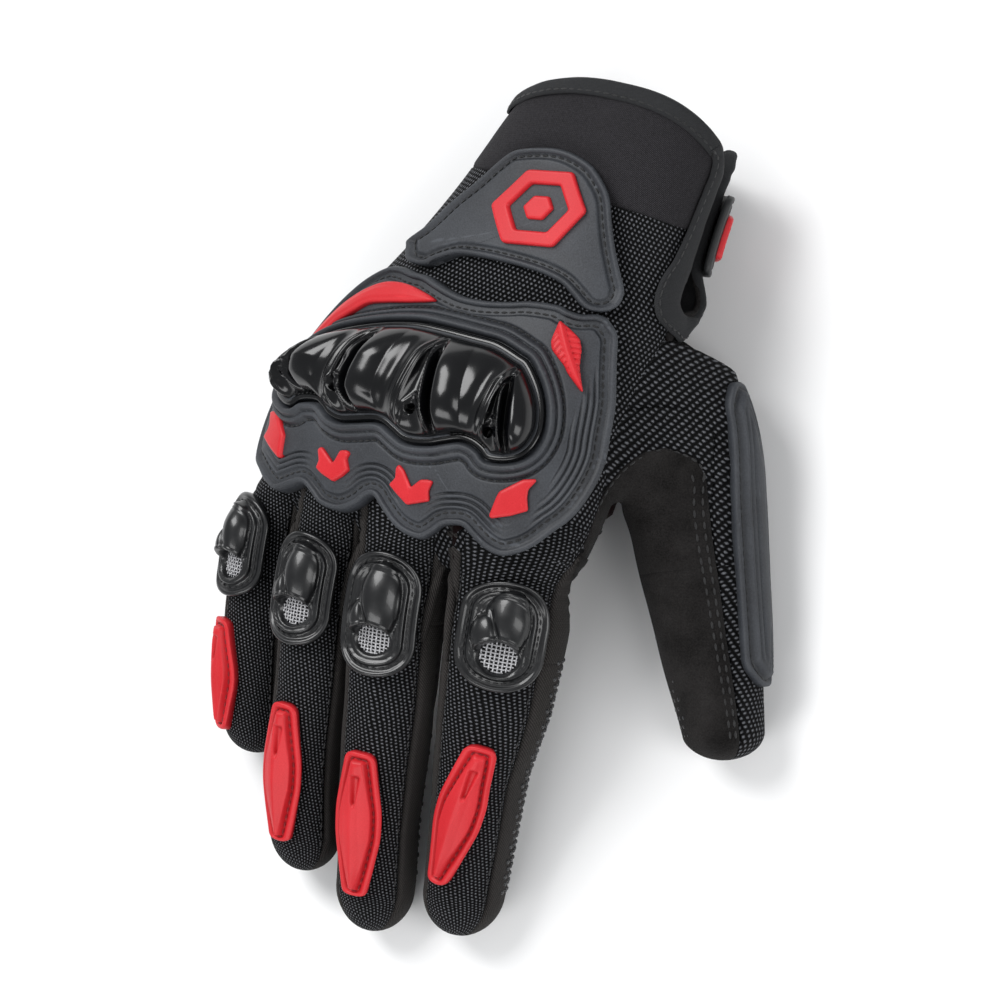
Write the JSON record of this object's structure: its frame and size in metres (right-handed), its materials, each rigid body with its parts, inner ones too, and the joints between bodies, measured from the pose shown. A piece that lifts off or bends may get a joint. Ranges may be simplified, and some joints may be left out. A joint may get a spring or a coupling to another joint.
{
  "type": "riding glove",
  "caption": "Right-hand riding glove with a hard knuckle shell, vented finger guards, fingertip sliders, a thumb slider and a wrist strap; the fingers, thumb and strap are hinged.",
  "frame": {"origin": "the middle of the palm heel pad's flat underside, on which the glove lies palm down", "axes": "+Z out of the back of the hand, +Y from the fingers to the cuff along the glove's length, +X to the thumb's side"},
  "size_m": [0.1494, 0.2237, 0.0698],
  "materials": {
    "mesh_knit": "matt open mesh knit over foam",
    "suede": "napped synthetic suede",
    "neoprene": "fine smooth knit on neoprene",
    "binding": "soft coated binding tape",
    "foam": "open cell foam",
    "black_rubber": "satin moulded rubber",
    "black_gloss": "polished black",
    "red_rubber": "satin red moulded rubber",
    "vent_weave": "pale woven vent gauze",
    "hook_loop": "hook and loop tape"
  },
  "bodies": {
    "hand": {"cuff_back_panel": "neoprene", "cuff_binding": "binding", "cuff_emblem": "red_rubber", "cuff_pad": "black_rubber", "cuff_palm_panel": "neoprene", "hand_back_panel": "mesh_knit", "hand_palm_panel": "suede", "index_chevron": "red_rubber", "knuckle_badge": "red_rubber", "knuckle_crescent": "red_rubber", "knuckle_foam": "foam", "knuckle_guard": "black_rubber", "knuckle_shell": "black_gloss", "little_chevron": "red_rubber", "middle_chevron": "red_rubber", "palm_grip_patch": "suede", "palm_heel_pad": "black_rubber", "ring_chevron": "red_rubber", "wrist_loop_patch": "hook_loop"},
    "index_base": {"index_base_back": "mesh_knit", "index_base_palm": "suede", "index_vent_guard": "black_gloss", "index_vent_mesh": "vent_weave"},
    "index_tip": {"index_slider": "red_rubber", "index_tip_back": "mesh_knit", "index_tip_palm": "suede"},
    "little_base": {"little_base_back": "mesh_knit", "little_base_palm": "suede", "little_vent_guard": "black_gloss", "little_vent_mesh": "vent_weave"},
    "little_tip": {"little_slider": "red_rubber", "little_tip_back": "mesh_knit", "little_tip_palm": "suede"},
    "middle_base": {"middle_base_back": "mesh_knit", "middle_base_palm": "suede", "middle_vent_guard": "black_gloss", "middle_vent_mesh": "vent_weave"},
    "middle_tip": {"middle_slider": "red_rubber", "middle_tip_back": "mesh_knit", "middle_tip_palm": "suede"},
    "ring_base": {"ring_base_back": "mesh_knit", "ring_base_palm": "suede", "ring_vent_guard": "black_gloss", "ring_vent_mesh": "vent_weave"},
    "ring_tip": {"ring_slider": "red_rubber", "ring_tip_back": "mesh_knit", "ring_tip_palm": "suede"},
    "closure_strap": {"strap_badge": "red_rubber", "strap_band": "black_rubber", "strap_hook_patch": "hook_loop"},
    "thumb_base": {"thumb_base_back": "mesh_knit", "thumb_base_palm": "suede", "thumb_base_slider": "black_rubber"},
    "thumb_tip": {"thumb_tip_back": "mesh_knit", "thumb_tip_palm": "suede", "thumb_tip_slider": "black_rubber"}
  },
  "joints": [
    {"name": "index_knuckle", "type": "hinge", "parent": "hand", "child": "index_base", "pos_m": [0.021, -0.061, 0.035], "axis": [0.9963, 0.0854, 0], "range_deg": [-10, 60]},
    {"name": "index_middle_joint", "type": "hinge", "parent": "index_base", "child": "index_tip", "pos_m": [0.024, -0.096, 0.0285], "axis": [0.9963, 0.0854, 0], "range_deg": [-10, 70]},
    {"name": "middle_knuckle", "type": "hinge", "parent": "hand", "child": "middle_base", "pos_m": [-0.008, -0.061, 0.035], "axis": [0.9943, 0.1067, 0], "range_deg": [-10, 60]},
    {"name": "middle_middle_joint", "type": "hinge", "parent": "middle_base", "child": "middle_tip", "pos_m": [-0.0036, -0.102, 0.028], "axis": [0.9943, 0.1067, 0], "range_deg": [-10, 70]},
    {"name": "ring_knuckle", "type": "hinge", "parent": "hand", "child": "ring_base", "pos_m": [-0.03, -0.061, 0.0305], "axis": [0.995, 0.0995, 0], "range_deg": [-10, 60]},
    {"name": "ring_middle_joint", "type": "hinge", "parent": "ring_base", "child": "ring_tip", "pos_m": [-0.026, -0.101, 0.0245], "axis": [0.995, 0.0995, 0], "range_deg": [-10, 70]},
    {"name": "little_knuckle", "type": "hinge", "parent": "hand", "child": "little_base", "pos_m": [-0.051, -0.061, 0.021], "axis": [0.9954, 0.0961, 0], "range_deg": [-10, 60]},
    {"name": "little_middle_joint", "type": "hinge", "parent": "little_base", "child": "little_tip", "pos_m": [-0.0482, -0.09, 0.0175], "axis": [0.9954, 0.0961, 0], "range_deg": [-10, 70]},
    {"name": "thumb_root", "type": "hinge", "parent": "hand", "child": "thumb_base", "pos_m": [0.044, 0, 0.019], "axis": [-0.5711, -0.3067, 0.7614], "range_deg": [-25, 10]},
    {"name": "thumb_joint", "type": "hinge", "parent": "thumb_base", "child": "thumb_tip", "pos_m": [0.064, -0.055, 0.014], "axis": [-0.5711, -0.3067, 0.7614], "range_deg": [-40, 0]},
    {"name": "strap_hinge", "type": "hinge", "parent": "hand", "child": "closure_strap", "pos_m": [0.04218, 0.0335, 0.02849], "axis": [0.0322, -0.9942, 0.1022], "range_deg": [0, 120]}
  ]
}
